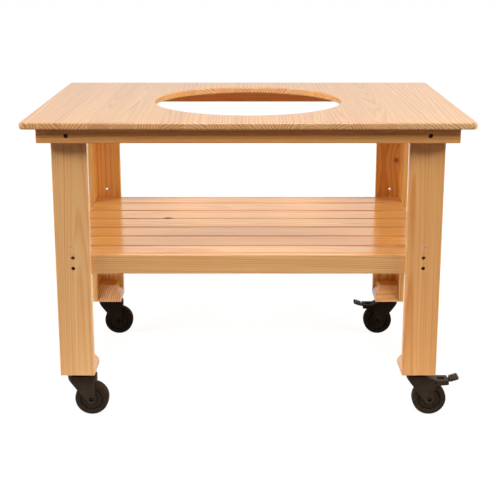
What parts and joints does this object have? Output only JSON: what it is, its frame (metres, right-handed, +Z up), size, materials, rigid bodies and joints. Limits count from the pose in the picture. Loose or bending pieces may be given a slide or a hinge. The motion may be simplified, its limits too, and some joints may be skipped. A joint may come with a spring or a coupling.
{
  "type": "kamado grill table",
  "caption": "Pine kamado grill table with a round cut-out in the worktop, a slatted shelf between L-shaped legs, and swivel casters, the right-hand ones braked.",
  "frame": {"origin": "on the floor under the middle of the worktop", "axes": "+X to the right along the long side, +Y to the back, +Z up"},
  "size_m": [1.2, 0.8, 0.86],
  "materials": {
    "pine": "clear satin varnish over pale pine, orange where it is in shadow",
    "black_steel": "satin black coated pressed steel",
    "tyre": "matt black rubber",
    "black_plastic": "moulded black plastic"
  },
  "bodies": {
    "frame": {"table_top": "pine", "front_rail": "pine", "back_rail": "pine", "left_rail": "pine", "right_rail": "pine", "shelf_front_rail": "pine", "shelf_back_rail": "pine", "shelf_slat_1": "pine", "shelf_slat_2": "pine", "shelf_slat_3": "pine", "shelf_slat_4": "pine", "shelf_slat_5": "pine", "shelf_slat_6": "pine", "shelf_slat_7": "pine", "shelf_batten_left": "pine", "shelf_batten_middle": "pine", "shelf_batten_right": "pine", "front_left_leg_face_board": "pine", "front_left_leg_side_board": "pine", "front_left_foot_block": "pine", "front_left_rail_screw": "black_steel", "front_left_shelf_bolt": "black_steel", "front_left_caster_stem": "black_steel", "front_right_leg_face_board": "pine", "front_right_leg_side_board": "pine", "front_right_foot_block": "pine", "front_right_rail_screw": "black_steel", "front_right_shelf_bolt": "black_steel", "front_right_caster_stem": "black_steel", "back_left_leg_face_board": "pine", "back_left_leg_side_board": "pine", "back_left_foot_block": "pine", "back_left_rail_screw": "black_steel", "back_left_shelf_bolt": "black_steel", "back_left_caster_stem": "black_steel", "back_right_leg_face_board": "pine", "back_right_leg_side_board": "pine", "back_right_foot_block": "pine", "back_right_rail_screw": "black_steel", "back_right_shelf_bolt": "black_steel", "back_right_caster_stem": "black_steel"},
    "front_left_fork": {"front_left_caster_fork": "black_steel", "front_left_caster_axle": "black_steel"},
    "front_left_wheel": {"front_left_caster_tyre": "tyre", "front_left_caster_hub": "black_plastic"},
    "front_right_fork": {"front_right_caster_fork": "black_steel", "front_right_caster_axle": "black_steel"},
    "front_right_wheel": {"front_right_caster_tyre": "tyre", "front_right_caster_hub": "black_plastic"},
    "front_right_pedal": {"front_right_brake_pedal": "black_plastic"},
    "back_left_fork": {"back_left_caster_fork": "black_steel", "back_left_caster_axle": "black_steel"},
    "back_left_wheel": {"back_left_caster_tyre": "tyre", "back_left_caster_hub": "black_plastic"},
    "back_right_fork": {"back_right_caster_fork": "black_steel", "back_right_caster_axle": "black_steel"},
    "back_right_wheel": {"back_right_caster_tyre": "tyre", "back_right_caster_hub": "black_plastic"},
    "back_right_pedal": {"back_right_brake_pedal": "black_plastic"}
  },
  "joints": [
    {"name": "front_left_swivel", "type": "hinge", "parent": "frame", "child": "front_left_fork", "pos_m": [-0.482, -0.308, 0.119], "axis": [0, 0, 1], "continuous": true},
    {"name": "front_left_wheel_spin", "type": "hinge", "parent": "front_left_fork", "child": "front_left_wheel", "pos_m": [-0.447, -0.308, 0.048], "axis": [0, 1, 0], "continuous": true},
    {"name": "front_right_swivel", "type": "hinge", "parent": "frame", "child": "front_right_fork", "pos_m": [0.482, -0.308, 0.119], "axis": [0, 0, 1], "continuous": true},
    {"name": "front_right_wheel_spin", "type": "hinge", "parent": "front_right_fork", "child": "front_right_wheel", "pos_m": [0.517, -0.308, 0.048], "axis": [0, 1, 0], "continuous": true},
    {"name": "front_right_brake", "type": "hinge", "parent": "front_right_fork", "child": "front_right_pedal", "pos_m": [0.532, -0.308, 0.1], "axis": [0, 1, 0], "range_deg": [0, 15]},
    {"name": "back_left_swivel", "type": "hinge", "parent": "frame", "child": "back_left_fork", "pos_m": [-0.482, 0.308, 0.119], "axis": [0, 0, 1], "continuous": true},
    {"name": "back_left_wheel_spin", "type": "hinge", "parent": "back_left_fork", "child": "back_left_wheel", "pos_m": [-0.447, 0.308, 0.048], "axis": [0, 1, 0], "continuous": true},
    {"name": "back_right_swivel", "type": "hinge", "parent": "frame", "child": "back_right_fork", "pos_m": [0.482, 0.308, 0.119], "axis": [0, 0, 1], "continuous": true},
    {"name": "back_right_wheel_spin", "type": "hinge", "parent": "back_right_fork", "child": "back_right_wheel", "pos_m": [0.447, 0.308, 0.048], "axis": [0, -1, 0], "continuous": true},
    {"name": "back_right_brake", "type": "hinge", "parent": "back_right_fork", "child": "back_right_pedal", "pos_m": [0.432, 0.308, 0.1], "axis": [0, -1, 0], "range_deg": [0, 15]}
  ]
}
